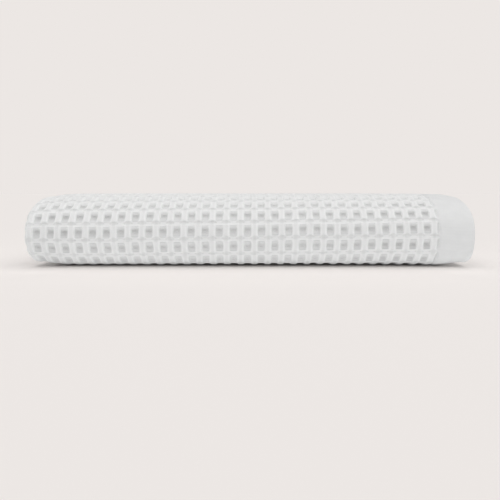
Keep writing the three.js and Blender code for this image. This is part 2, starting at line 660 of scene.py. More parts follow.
@dataclass
class Cloth:
    """The whole cloth: its folds, its weave and the small ways in which neither is even.

    Rows are counted in cells from the row of hollows over the front ridge, downwards.

    Args:
        sizes: of the cloth and its folds.
        waffle: the relief of its weave.
        skew: how far the rows run askew, as a slope.
        front_ridge_below: how far the ridge at the very front lies under the foremost line.
        yarn_wander: how far the yarns wander at most.
        yarn_wander_step: over what distance they do.
        ridge_uneven: how much the ridges vary in height.
        ridge_uneven_scale: how many times they do so in a cell.
        stretch_reach: how far from a tight fold the relief is pulled flat.
        stretch_core: over what share of that reach it is so wholly.
        left_stretch: how much of the relief is lost at the left fold.
        right_stretch: how much at the right fold.
        pressed: how much of the relief is lost low at the front and under the stack.
        pressed_rows: over which rows that sets in.
        under_gap: how much deeper the hollows are where the front meets the floor.
        under_gap_ridges: what share of that the ridges have.
        under_gap_beside: between which shares of a hollow's half width it turns to the ridges' share.
        under_gap_rows: where it starts, is full, is still full and ends.
        seam_dip: depth of the notch beside the outer hem.
        seam_shallow: how much shallower it is at the crossings.
        seam_crossing: where along a cell that starts and is full.
        seam_half: half of the notch's width.
        seam_from_hem: how far its middle lies from the hem.
        left_sag: how the upper layers sink at the left.
        right_sag: how they sink at the right.
        left_lift: how the lowest layers rise at the left.
        right_lift: how they rise at the right.
        hem_corner: how far the hem stands out low at the front.
        hem_uneven: height of the faint ribs of the hem.
        hem_uneven_steps: how long and how wide they are.
    """

    sizes: ClothSizes = field(default_factory=ClothSizes)
    waffle: Waffle = field(default_factory=Waffle)
    skew: float = 0.0135
    front_ridge_below: float = 0.5 * MM
    yarn_wander: float = 0.28 * MM
    yarn_wander_step: float = 17 * MM
    ridge_uneven: float = 0.16 * MM
    ridge_uneven_scale: float = 0.9
    stretch_reach: float = 13 * MM
    stretch_core: float = 0.25
    left_stretch: float = 0.72
    right_stretch: float = 0.5
    pressed: float = 0.6
    pressed_rows: tuple[float, float] = (1.2, 2.1)
    under_gap: float = 1.2 * MM
    under_gap_ridges: float = 0.35
    under_gap_beside: tuple[float, float] = (0.6, 1.0)
    under_gap_rows: tuple[float, float, float, float] = (2.4, 3.0, 3.6, 4.4)
    seam_dip: float = 1.7 * MM
    seam_shallow: float = 0.75
    seam_crossing: tuple[float, float] = (0.22, 0.42)
    seam_half: float = 1.5 * MM
    seam_from_hem: float = 0.9 * MM
    left_sag: Sag = Sag(150 * MM, 172 * MM, 2.6 * MM)
    right_sag: Sag = Sag(160 * MM, 175 * MM, 2.4 * MM)
    left_lift: Sag = Sag(145 * MM, 168 * MM, 2.5 * MM)
    right_lift: Sag = Sag(146 * MM, 169 * MM, 2.2 * MM)
    hem_corner: Sag = Sag(118 * MM, 160 * MM, 1.6 * MM)
    hem_uneven: float = 0.22 * MM
    hem_uneven_steps: tuple[float, float] = (19 * MM, 5 * MM)

    def __post_init__(self) -> None:
        """Works out the fold lines and draws the unevenness."""
        self.folding = Folding(self.sizes)
        self.plies = self.folding.ply_line()
        self.wander_across = SoftNoise(SEED)
        self.wander_along = SoftNoise(SEED + 1)
        self.ridge_height = SoftNoise(SEED + 2)
        slips = [slip.value for slip in Slip]
        low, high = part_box(NODE)
        self.middle_x = (low[0] + high[0] - max(slips) - min(slips)) / 2
        self.front_y = low[1]

    @property
    def outer_edge_x(self) -> float:
        """Where the round edge of the outer hem starts, from the middle of the strip."""
        return (self.sizes.strip_width - self.sizes.hem_ply) / 2

    @property
    def outer_hem_end(self) -> float:
        """Where the outer hem ends, as a distance along the plies' line."""
        return self.plies.marks["OUTER_PLY"] + self.sizes.hem_width - self.sizes.hem_ply / 2

    def front_ridge(self, strip: FoldLine) -> float:
        """Where the ridge of the weave at the very front is, as a distance along the strip's line."""
        upper = sum(arc.radius * math.radians(arc.degrees) for arc in self.sizes.nose[1:])
        return strip.marks["OUTER_FRONT"] + upper + self.front_ridge_below

    def cell_across(self, u: Array) -> Array:
        """Places across the cloth in cells, which are a little narrower right of the middle.

        Args:
            u: distances along the plies' line.

        Returns:
            The places, 0 at the hollow nearest to the middle of the front.
        """
        x = self.outer_edge_x - (u - self.plies.marks["OUTER_PLY"])
        more = self.waffle.narrower_right * np.maximum(x, 0.0)
        return (self.waffle.first_hollow_x - x - more) / self.waffle.across

    def line_places(self, cells: Array) -> Array:
        """Distances along the plies' line from places across the cloth.

        Args:
            cells: the places, in cells.

        Returns:
            The distances.
        """
        wide = self.waffle.first_hollow_x - cells * self.waffle.across
        x = np.where(wide > 0, wide / (1 + self.waffle.narrower_right), wide)
        return self.plies.marks["OUTER_PLY"] + self.outer_edge_x - x

    def weave_places(self, u: Array, rows: Array) -> Array:
        """Places in the weave, whose yarns wander a little.

        Args:
            u: distances along the plies' line.
            rows: places along the cloth in cells.

        Returns:
            Places across and along in cells, one pair a row.
        """
        waffle, step = self.waffle, self.yarn_wander_step
        x, y = u / step, rows * waffle.along / step
        across = self.yarn_wander * self.wander_across.at(x, y) / waffle.across
        along = self.yarn_wander * self.wander_along.at(x, y) / waffle.along
        return np.stack([self.cell_across(u) + across, rows + along], axis=1)

    def hem_share(self, u: Array) -> Array:
        """Where the plain hems are.

        Args:
            u: distances along the plies' line.

        Returns:
            1 on the hems, 0 on the waffle.
        """
        slope = self.sizes.hem_slope
        outer = 1 - ease(u, self.outer_hem_end, self.outer_hem_end + slope)
        inner_start = self.plies.marks["INNER_HEM_EDGE"] - self.sizes.hem_width
        return np.maximum(outer, ease(u, inner_start - slope, inner_start))

    def fold_middle(self, start: str, stop: str) -> float:
        """The middle of a fold between two marks, as a distance along the plies' line."""
        return (self.plies.marks[start] + self.plies.marks[stop]) / 2

    @property
    def left_fold_cell(self) -> float:
        """Where the tight fold at the left is, in cells."""
        middle = self.fold_middle("LEFT_FOLD", "MIDDLE_PLY")
        return float(self.cell_across(np.array([middle]))[0])

    def stretched(self, u: Array) -> Array:
        """How much of the relief the tight folds at the sides pull flat.

        Args:
            u: distances along the plies' line.

        Returns:
            The share that is lost, at most 1.
        """
        left = self.fold_middle("LEFT_FOLD", "MIDDLE_PLY")
        right = self.fold_middle("RIGHT_FOLD", "INNER_PLY")
        core = self.stretch_core * self.stretch_reach
        shares = [
            share * (1 - ease(np.abs(u - middle), core, self.stretch_reach))
            for share, middle in ((self.left_stretch, left), (self.right_stretch, right))
        ]
        return shares[0] + shares[1]

    def sag(self, x: Array, z: Array) -> Array:
        """How far the layers sink towards both sides: the upper ones do, and the lowest ones rise.

        Args:
            x: places along X.
            z: heights over the floor.

        Returns:
            How far they sink, below 0 where they rise.
        """
        sunk = self.left_sag.depth_at(-x) + self.right_sag.depth_at(x)
        risen = self.left_lift.depth_at(-x) + self.right_lift.depth_at(x)
        level = np.clip(z / self.sizes.height, 0.0, 1.0)
        return sunk * level**3 - risen * (1 - level) ** 3

    def relief(self, u: Array, weave: Array) -> Array:
        """Height of the waffle's face, which is flatter at the tight folds and under the stack.

        Args:
            u: distances along the plies' line.
            weave: places in the weave.

        Returns:
            Heights in metres, 0 or less.
        """
        across, along = weave[:, 0], weave[:, 1]
        kept = (1 - self.stretched(u)) * (1 - self.pressed * ease(along, *self.pressed_rows))
        beside = np.abs(across - np.round(across)) / self.waffle.rim_across
        start, full, still, stop = self.under_gap_rows
        gap = self.under_gap * ease(along, start, full) * (1 - ease(along, still, stop))
        gap = gap * (1 - (1 - self.under_gap_ridges) * ease(beside, *self.under_gap_beside))
        return self.waffle.relief(across, along) * kept - gap

    def height(self, u: Array, weave: Array) -> Array:
        """Height of the face over the fold lines, 0 at the highest ridges.

        Args:
            u: distances along the plies' line.
            weave: places in the weave.

        Returns:
            Heights in metres, 0 or less.
        """
        hem = self.hem_share(u)
        thinner = hem * (self.sizes.ply - self.sizes.hem_ply) / 2
        uneven = self._uneven(u, weave, hem)
        return (1 - hem) * self.relief(u, weave) - thinner - uneven - self._seam(u, weave[:, 1])

    def _uneven(self, u: Array, weave: Array, hem: Array) -> Array:
        """How much lower the ridges and the hem's ribs are than the highest ones.

        Args:
            u: distances along the plies' line.
            weave: places in the weave.
            hem: 1 on the hems, 0 on the waffle.

        Returns:
            Depths in metres, 0 or more.
        """
        scale = self.ridge_uneven_scale
        noise = self.ridge_height.at(weave[:, 0] * scale, weave[:, 1] * scale)
        ridges = self.ridge_uneven * (0.5 + 0.5 * noise)
        step_across, step_along = self.hem_uneven_steps
        ribs = self.wander_along.at(u / step_across, weave[:, 1] * self.waffle.along / step_along)
        return (1 - hem) * ridges + hem * self.hem_uneven * (0.5 + 0.5 * ribs)

    def _seam(self, u: Array, rows: Array) -> Array:
        """The notch beside the outer hem, which is deeper between the crossings.

        Args:
            u: distances along the plies' line.
            rows: places along the cloth in cells.

        Returns:
            Depths in metres, 0 or more.
        """
        beside = np.abs(u - self.outer_hem_end - self.seam_from_hem)
        crossing = ease(np.abs(rows - np.round(rows)), *self.seam_crossing)
        depth = self.seam_dip * (1 - self.seam_shallow * crossing)
        return depth * (1 - ease(beside, 0.0, self.seam_half))


# Objects in the scene


def add_object(name: str, data: bpy.types.ID) -> bpy.types.Object:
    """Makes an object at the origin and puts it in the scene.

    Args:
        name: of the object.
        data: its mesh, light or camera.

    Returns:
        The object.
    """
    made = bpy.data.objects.new(name, data)
    bpy.context.scene.collection.objects.link(made)
    return made


def add_mesh(name: str, bm: bmesh.types.BMesh) -> bpy.types.Object:
    """Makes an object of a finished shape, which it frees.

    Args:
        name: of the object and its mesh.
        bm: its shape.

    Returns:
        The object.
    """
    mesh = bpy.data.meshes.new(name)
    bm.to_mesh(mesh)
    bm.free()
    return add_object(name, mesh)


# Pieces of cloth


@dataclass(frozen=True)
class Lines:
    """How close a grid's lines lie within a cell.

    Args:
        inner: places of the lines between a hollow's middle (0) and a ridge's (0.5), which have one each.
        closest: how close two lines may lie where the grid ends within a cell.
    """

    inner: tuple[float, ...]
    closest: float = 0.02

    def cell(self) -> list[float]:
        """The places of the lines over one whole cell, from ridge to ridge."""
        return [-0.5, *(-place for place in reversed(self.inner)), 0.0, *self.inner]

    def between(self, first: float, last: float) -> Array:
        """Places in cells from first to last, both included.

        Args:
            first: where the lines start, in cells.
            last: where they stop.

        Returns:
            The places in rising order.
        """
        cells = range(math.floor(first) - 1, math.ceil(last) + 2)
        places = np.array([cell + place for cell in cells for place in self.cell()])
        inside = (places > first + self.closest) & (places < last - self.closest)
        return np.concatenate([[first], places[inside], [last]])


ACROSS_FINE = Lines((0.11, 0.18, 0.23, 0.28, 0.335, 0.41))
ACROSS_COARSE = Lines((0.17, 0.26, 0.335))
ALONG_FINE = Lines((0.06, 0.10, 0.14, 0.20, 0.25, 0.285, 0.32, 0.355, 0.40, 0.45))
ALONG_MEDIUM = Lines((0.20, 0.31, 0.395))
ALONG_COARSE = Lines((0.28, 0.395))
EDGE_STEPS = 7
HEM_STEPS = 8
SEAM_LINES = (3.0 * MM, 1.9 * MM, 0.9 * MM)
PLAIN_STEP = 16 * MM


@dataclass
class Panel:
    """One stretch of the cloth as a grid, folded into place.

    Args:
        name: of its object.
        cloth: that it is part of.
        under_hem: how much of the underside of the outer hem a panel takes in.
        under_left: how far past the left fold the outer panels reach.
        front_rows: first and last ridge of the front fold's panel; the one at the very front is 0.5.
    """

    name: str
    cloth: Cloth
    under_hem: float = 16 * MM
    under_left: float = 15 * MM
    front_rows: tuple[float, float] = (-4.5, 4.5)

    def __post_init__(self) -> None:
        """Works out the strip's line for this panel, and where the weave starts on it."""
        self.strip = self.cloth.folding.strip_line(self.out)
        outer = self.cloth.folding.strip_line(self.cloth.sizes.strip_half)
        from_top = outer.marks["TOP_BACK"] - self.cloth.front_ridge(outer)
        self.ridge_at = self.strip.marks["TOP_BACK"] - from_top

    @property
    def out(self) -> float:
        """How far the line that measures the panel's length stands out from the strip's middle."""
        return self.cloth.sizes.strip_half

    def rows(self) -> Array:
        """Places of the grid's lines along the cloth, in cells."""
        raise NotImplementedError

    def columns(self) -> Array:
        """Places of the grid's lines across the cloth, as distances along the plies' line."""
        raise NotImplementedError

    def worked(self, columns: Array) -> Array:
        """1 where the relief is worked out, 0 where the cloth is left plain because it is hidden."""
        return np.ones_like(columns)

    def row_at(self, along: float) -> float:
        """The place in cells of a distance along the strip's line."""
        return (along - self.ridge_at) / self.cloth.waffle.along + 0.5

    def ridge_after(self, mark: str, more: float = 0.0) -> float:
        """The place in cells of the first ridge after a mark of the strip's line."""
        return math.ceil(self.row_at(self.strip.marks[mark] + more) - 0.5) + 0.5

    @property
    def outer_start(self) -> float:
        """The ridge just before the upper back fold, where the outer panels start."""
        return self.ridge_after("TOP_BACK", -self.cloth.waffle.along)

    @property
    def outer_stop(self) -> float:
        """The ridge just after the lower back fold, where the outer panels stop."""
        return self.ridge_after("OUTER_BACK_END")

    def fold(self, columns: Array, rows: Array) -> tuple[Array, Array]:
        """Folds a flat grid.

        Args:
            columns: for each point, its distance along the plies' line.
            rows: for each point, its place along the cloth in cells.

        Returns:
            The points in the frame, and their places in the weave in cells, one a row.
        """
        cloth = self.cloth
        weave = cloth.weave_places(columns, rows)
        height = cloth.height(columns, weave) * self.worked(columns)
        section, facing = cloth.plies.places(columns)
        along = self.ridge_at + (rows - 0.5) * cloth.waffle.along - cloth.skew * section[:, 0]
        line, out = self.strip.places(along)
        rise = section[:, 1] + height * facing[:, 1] - self.out
        rise = rise + self.fuller(section[:, 0], along)
        x = cloth.middle_x + section[:, 0] + self.slip(along) + height * facing[:, 0]
        y = cloth.front_y + line[:, 0] + out[:, 0] * rise
        z = line[:, 1] + out[:, 1] * rise
        return np.stack([x, y, z - cloth.sag(x, z)], axis=1), weave

    def fuller(self, x: Array, along: Array) -> Array:
        """How far the front fold stands out low at the hem, which is too stiff to bend so tightly.

        Args:
            x: places across the strip.
            along: distances along the strip's line.

        Returns:
            How far the face stands out.
        """
        stop = self.strip.marks["OUTER_FRONT_END"]
        turn = self.strip.stretch_before("OUTER_FRONT_END")
        share = np.clip(1 - (stop - along) / turn, 0.0, 1.0) * (along <= stop)
        return self.cloth.hem_corner.depth_at(x) * np.sin(math.pi * share) ** 2

    def slip(self, along: Array) -> Array:
        """How far the strip lies along X, fold by fold.

        Args:
            along: distances along the strip's line.

        Returns:
            The distances along X.
        """
        marks = self.strip.marks
        known = [(marks[s.name + end], s.value) for s in Slip for end in ("", "_END")]
        return np.interp(along, *zip(*known))

    def build(self) -> bpy.types.Object:
        """Makes the panel's object from a grid that is folded point by point.

        Returns:
            The object, at the origin, with its places in the weave as its UV map.
        """
        columns, rows = self.columns(), self.rows()
        bm = bmesh.new()
        bmesh.ops.create_grid(bm, x_segments=len(columns) - 1, y_segments=len(rows) - 1, size=0.5)
        places, weave = self.fold(np.tile(columns, len(rows)), np.repeat(rows, len(columns)))
        for vert, place in zip(bm.verts, places):
            vert.co = place
        hem = self.cloth.hem_share(columns)
        plain = ((hem[:-1] + hem[1:]) / 2 > 0.5).astype(int)
        layer = bm.loops.layers.uv.new(CLOTH_MAP)
        for i, face in enumerate(bm.faces):
            face.smooth = True
            face.material_index = int(plain[i % len(plain)])
            for loop in face.loops:
                loop[layer].uv = weave[loop.vert.index]
        return add_mesh(self.name, bm)

    def flat_size(self) -> tuple[float, float]:
        """The size of the panel before it was folded.

        Returns:
            Its width and its length.
        """
        columns, rows = self.columns(), self.rows()
        length = (rows[-1] - rows[0]) * self.cloth.waffle.along
        return float(columns[-1] - columns[0]), float(length)

    def dress(self, piece: bpy.types.Object, finishes: Sequence[bpy.types.Material]) -> None:
        """Gives the panel its finishes, puts it under the body and hides the solid.

        Args:
            piece: the panel's object.
            finishes: the waffle's and the hem's materials.
        """
        for finish in finishes:
            piece.data.materials.append(finish)
        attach(piece, BODY)
        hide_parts(NODE)
        self.flat_size()

    def waffle_columns(self, start: float, stop: float) -> Array:
        """Lines over the waffle between two distances along the plies' line."""
        first, last = self.cloth.cell_across(np.array([start, stop]))
        return self.cloth.line_places(self.across_lines().between(float(first), float(last)))

    def across_lines(self) -> Lines:
        """How close the lines lie across the cloth."""
        return ACROSS_FINE

    def hem_columns(self) -> Array:
        """Lines from under the outer hem, round its edge and over it.

        Returns:
            Distances along the plies' line.
        """
        edge, top = self.cloth.plies.marks["HEM_EDGE"], self.cloth.plies.marks["OUTER_PLY"]
        round_edge = np.linspace(edge, top, EDGE_STEPS)
        end = self.cloth.outer_hem_end
        over = np.linspace(top, end - 2 * SEAM_LINES[0], HEM_STEPS)
        seam = [end - line for line in SEAM_LINES]
        return np.concatenate([[edge - self.under_hem], round_edge, over[1:], seam, [end]])


@dataclass
class OuterPanel(Panel):
    """A panel of the outer ply and the fold at its left, which show from outside."""

    def columns(self) -> Array:
        """Lines from under the outer hem, over the outer ply and round the left fold.

        Returns:
            Distances along the plies' line.
        """
        hem = self.hem_columns()
        stop = self.cloth.plies.marks["MIDDLE_PLY"] + self.under_left
        return np.concatenate([hem, self.waffle_columns(hem[-1], stop)[1:]])


@dataclass
class FrontFold(OuterPanel):
    """The front fold, with the finest weave, between two ridges of the weave."""

    def rows(self) -> Array:
        """Rows on both sides of the one at the very front."""
        return ALONG_FINE.between(*self.front_rows)


@dataclass
class TopLayer(OuterPanel):
    """The top of the stack with the upper back fold."""

    def rows(self) -> Array:
        """Rows from just before the back fold to the front fold's panel."""
        return ALONG_MEDIUM.between(self.outer_start, self.front_rows[0])


@dataclass
class Underside(OuterPanel):
    """The bottom of the stack with the lower back fold."""

    def rows(self) -> Array:
        """Rows from the front fold's panel to just after the back fold."""
        return ALONG_COARSE.between(self.front_rows[1], self.outer_stop)


@dataclass
class InnerPanel(Panel):
    """A panel that shows only where its folds and edges come to the sides of the stack.

    Args:
        shown: how far in from a fold or an edge the weave is worked out.
    """

    shown: float = 18 * MM

    def across_lines(self) -> Lines:
        """Fewer lines than on the outer ply."""
        return ACROSS_COARSE

    def rows(self) -> Array:
        """Rows from one end of the panel to the other, on the ridges of the weave."""
        first, last = self.ends()
        return ALONG_MEDIUM.between(first, last)

    def ends(self) -> tuple[float, float]:
        """The first and the last row, in cells."""
        raise NotImplementedError

    def windows(self) -> list[tuple[float, float]]:
        """Stretches across the cloth that show.

        Returns:
            Where each starts and stops, as distances along the plies' line.
        """
        marks = self.cloth.plies.marks
        return [
            (marks["LEFT_FOLD"] - self.shown, marks["MIDDLE_PLY"] + self.shown),
            (marks["RIGHT_FOLD"] - self.shown, marks["INNER_PLY"] + self.shown),
        ]

    def worked(self, columns: Array) -> Array:
        """Where the relief is worked out, because it shows there.

        Args:
            columns: distances along the plies' line.

        Returns:
            1 near what shows, fading to 0 within one cell's width.
        """
        fade = self.cloth.waffle.across
        shares = [
            ease(columns, start, start + fade) * (1 - ease(columns, stop - fade, stop))
            for start, stop in self.windows()
        ]
        return np.max(shares, axis=0)

    def columns(self) -> Array:
        """Close lines where the panel shows, and a few elsewhere.

        Returns:
            Distances along the plies' line.
        """
        lines = []
        reached = self.start()
        for start, stop in self.windows():
            if start > reached:
                lines.append(self.plain_columns(reached, start))
            lines.append(self.waffle_columns(max(start, reached), stop))
            reached = stop
        lines.append(self.plain_columns(reached, self.cloth.plies.marks["INNER_HEM_EDGE"]))
        return np.concatenate([lines[0], *(part[1:] for part in lines[1:])])

    def start(self) -> float:
        """Where the panel starts across the cloth."""
        raise NotImplementedError

    def plain_columns(self, start: float, stop: float) -> Array:
        """A few lines between two distances along the plies' line."""
        return np.linspace(start, stop, max(2, round((stop - start) / PLAIN_STEP) + 1))


@dataclass
class InnerPlies(InnerPanel):
    """The middle and the inner ply behind the outer panels."""

    def start(self) -> float:
        """Where the outer panels stop."""
        return self.cloth.plies.marks["MIDDLE_PLY"] + self.under_left

    def worked(self, columns: Array) -> Array:
        """Full relief where the outer panels stop, so that the two meet."""
        fade = self.cloth.waffle.across
        return np.maximum(super().worked(columns), 1 - ease(columns, self.start(), self.start() + fade))

    def ends(self) -> tuple[float, float]:
        """The same rows as the top, the front fold and the underside have together."""
        return self.outer_start, self.outer_stop


@dataclass
class WholeStrip(InnerPanel):
    """A stretch of the strip with all three plies."""

    @property
    def slant(self) -> float:
        """How far the rows, which run askew, stick out of the strip's straight end at one side."""
        return self.cloth.skew * self.cloth.sizes.strip_width / 2

    def start(self) -> float:
        """Where the outer hem's waffle begins."""
        return self.cloth.outer_hem_end

    def windows(self) -> list[tuple[float, float]]:
        """What shows, with a little of the waffle beside the outer hem."""
        start = self.cloth.outer_hem_end
        return [(start - self.cloth.waffle.across, start + self.shown), *super().windows()]

    def columns(self) -> Array:
        """The hem's lines, and then the rest."""
        return np.concatenate([self.hem_columns(), super().columns()[1:]])

    def worked(self, columns: Array) -> Array:
        """The hem keeps its own thickness."""
        return np.where(columns < self.cloth.outer_hem_end, 1.0, super().worked(columns))


@dataclass
class InnerStrips(WholeStrip):
    """The four strips inside the stack, from the strip's inner end to the upper back fold."""

    @property
    def out(self) -> float:
        """The line is the strip's middle, because this stretch folds both ways."""
        return 0.0

    def ends(self) -> tuple[float, float]:
        """Rows from the strip's inner end to where the outer panels start."""
        return self.row_at(self.slant), self.outer_start


@dataclass
class OuterEnd(WholeStrip):
    """The strip's outer end, inside the stack."""

    def ends(self) -> tuple[float, float]:
        """Rows from where the underside stops to the strip's outer end."""
        return self.outer_stop, self.row_at(self.strip.length - self.slant)


# Finishes


@dataclass
class Field:
    """What changes over the surface, a number, a place or a colour: a socket to be reckoned with.

    Args:
        tree: that its node is in.
        socket: that gives it.
    """

    tree: bpy.types.NodeTree
    socket: bpy.types.NodeSocket

    def reckon(self, operation: str, *others: Field | float) -> Field:
        """Adds a Math node.

        Args:
            operation: the node's own name for it.
            others: what else goes in.

        Returns:
            The result.
        """
        node = self.tree.nodes.new("ShaderNodeMath")
        node.operation = operation
        for socket, value in zip(node.inputs, (self, *others)):
            feed(socket, value)
        return Field(self.tree, node.outputs["Value"])

    def __add__(self, other: Field | float) -> Field:
        """The sum."""
        return self.reckon("ADD", other)

    def __sub__(self, other: Field | float) -> Field:
        """The difference."""
        return self.reckon("SUBTRACT", other)

    def __mul__(self, other: Field | float) -> Field:
        """The product."""
        return self.reckon("MULTIPLY", other)

    def rest(self) -> Field:
        """What is left of 1."""
        return (self * -1.0) + 1.0

    def size(self) -> Field:
        """The absolute value."""
        return self.reckon("ABSOLUTE")

    def nearest(self) -> Field:
        """The nearest whole number."""
        return self.reckon("ROUND")

    def whole(self) -> Field:
        """The whole part."""
        return self.reckon("FLOOR")

    def over(self, other: Field | float) -> Field:
        """1 where it is over the other, else 0."""
        return self.reckon("GREATER_THAN", other)

    def ease(self, start: float, stop: float) -> Field:
        """A smooth step from 0 to 1.

        Args:
            start: up to where it is 0.
            stop: from where it is 1.

        Returns:
            The step.
        """
        node = self.tree.nodes.new("ShaderNodeMapRange")
        node.interpolation_type = "SMOOTHSTEP"
        node.inputs["From Min"].default_value = start
        node.inputs["From Max"].default_value = stop
        feed(node.inputs["Value"], self)
        return Field(self.tree, node.outputs["Result"])

    def parts(self) -> tuple[Field, Field]:
        """The first two parts of a place.

        Returns:
            The parts along X and along Y.
        """
        split = self.tree.nodes.new("ShaderNodeSeparateXYZ")
        feed(split.inputs["Vector"], self)
        return Field(self.tree, split.outputs["X"]), Field(self.tree, split.outputs["Y"])

    def blend(self, low: Field | Colour, high: Field | Colour) -> Field:
        """A colour between two others.

        Args:
            low: the colour where the field is 0.
            high: the colour where it is 1.

        Returns:
            The colour.
        """
        mix = self.tree.nodes.new("ShaderNodeMix")
        mix.data_type = "RGBA"
        feed(mix.inputs["Factor"], self)
        feed(mix.inputs["A"], low)
        feed(mix.inputs["B"], high)
        return Field(self.tree, mix.outputs["Result"])


def feed(socket: bpy.types.NodeSocket, value: Field | Colour | float) -> None:
    """Gives an input what goes into it.

    Args:
        socket: the input.
        value: a field to link to it, or a number or a colour to set.
    """
    if isinstance(value, Field):
        value.tree.links.new(value.socket, socket)
    else:
        socket.default_value = (*value, 1) if isinstance(value, tuple) else value


def object_place(tree: bpy.types.NodeTree) -> Field:
    """Object coordinates, in metres."""
    return Field(tree, tree.nodes.new("ShaderNodeTexCoord").outputs["Object"])


def new_material(
    name: str, settings: dict[str, Colour | float]
) -> tuple[bpy.types.Material, bpy.types.Node]:
    """Starts a material.

    Args:
        name: of the material.
        settings: what its shader has all over, by the names of its inputs.

    Returns:
        The material and its shader.
    """
    made = bpy.data.materials.new(name)
    made.use_nodes = True
    shader = made.node_tree.nodes["Principled BSDF"]
    for label, value in settings.items():
        feed(shader.inputs[label], value)
    return made, shader


class Pattern:
    """A shader node group: an effect with named inputs and outputs that materials share."""

    name: str = ""
    takes: dict[str, str] = {}
    gives: tuple[str, ...] = ()

    def __init__(self) -> None:
        """Builds the group once."""
        self.tree = bpy.data.node_groups.new(self.name, "ShaderNodeTree")
        for label, kind in self.takes.items():
            self.tree.interface.new_socket(label, in_out="INPUT", socket_type=kind)
        for label in self.gives:
            self.tree.interface.new_socket(label, in_out="OUTPUT", socket_type="NodeSocketFloat")
        self.entry = self.tree.nodes.new("NodeGroupInput")
        leave = self.tree.nodes.new("NodeGroupOutput")
        for label, result in self.work().items():
            feed(leave.inputs[label], result)

    def work(self) -> dict[str, Field]:
        """Builds the group's nodes.

        Returns:
            The outputs by name.
        """
        raise NotImplementedError

    def taken(self, label: str) -> Field:
        """An input of the group."""
        return Field(self.tree, self.entry.outputs[label])

    def place_in(
        self, tree: bpy.types.NodeTree, values: dict[str, Field | float]
    ) -> dict[str, Field]:
        """Places the group in a tree.

        Args:
            tree: to place it in.
            values: what goes into it, by name.

        Returns:
            What comes out of it, by name.
        """
        node = tree.nodes.new("ShaderNodeGroup")
        node.node_tree = self.tree
        for label, value in values.items():
            feed(node.inputs[label], value)
        return {label: Field(tree, node.outputs[label]) for label in self.gives}


class PlainYarns(Pattern):
    """Yarns that go over and under each other by turns.

    Ends and Picks count the yarns along and across the cloth, Float is over 0 where the warp stays on
    top and under 0 where the weft does. Between -1 and 1 they take turns. A yarn dives by the share
    dive, less and less as it floats over dive_fade. gap_fade is where a gap starts and is full, from the
    middle of a yarn (0) to its edge (1).
    """

    name = "plain yarns"
    takes = {"Ends": "NodeSocketFloat", "Picks": "NodeSocketFloat", "Float": "NodeSocketFloat"}
    gives = ("Height", "Gap")
    dive: float = 0.7
    dive_fade: tuple[float, float] = (0.6, 1.8)
    gap_fade: tuple[float, float] = (0.45, 1.0)

    def work(self) -> dict[str, Field]:
        """Round yarns, low where they dive under, with a gap beside each.

        Returns:
            The height, 1 on top of a yarn, and the gap, 1 between two yarns.
        """
        ends, picks, floats = self.taken("Ends"), self.taken("Picks"), self.taken("Float")
        turn = (ends.whole() + picks.whole()).reckon("FLOORED_MODULO", 2.0)
        warp_up = (floats + turn * 2.0).over(1.0)
        across = ((ends.reckon("FRACT") - 0.5) * 2.0).size()
        along = ((picks.reckon("FRACT") - 0.5) * 2.0).size()
        dives = floats.size().ease(*self.dive_fade).rest() * self.dive
        warp = (across * across).rest() * (along * along * dives).rest()
        weft = (along * along).rest() * (across * across * dives).rest()
        height = warp_up * warp + warp_up.rest() * weft
        gap = warp_up * across + warp_up.rest() * along
        return {"Height": height, "Gap": gap.ease(*self.gap_fade)}


class CottonFuzz(Pattern):
    """The fibres that stand off cotton yarn, and its slightly uneven tone.

    Place is in metres. The fibres and the tone each have a number of lumps in a metre, and a number of
    finer layers over them.
    """

    name = "cotton fuzz"
    takes = {"Place": "NodeSocketVector"}
    gives = ("Height", "Tone")
    fibres: tuple[float, float] = (3200.0, 3.0)
    tones: tuple[float, float] = (160.0, 4.0)

    def work(self) -> dict[str, Field]:
        """Fine noise for the fibres, and coarser noise for the tone."""
        return {"Height": self._noise(*self.fibres), "Tone": self._noise(*self.tones)}

    def _noise(self, scale: float, detail: float) -> Field:
        """Noise over the surface.

        Args:
            scale: how many lumps it has in a metre.
            detail: how many finer layers lie over them.

        Returns:
            Numbers from 0 to 1.
        """
        node = self.tree.nodes.new("ShaderNodeTexNoise")
        node.inputs["Scale"].default_value = scale
        node.inputs["Detail"].default_value = detail
        feed(node.inputs["Vector"], self.taken("Place"))
        return Field(self.tree, node.outputs["Fac"])


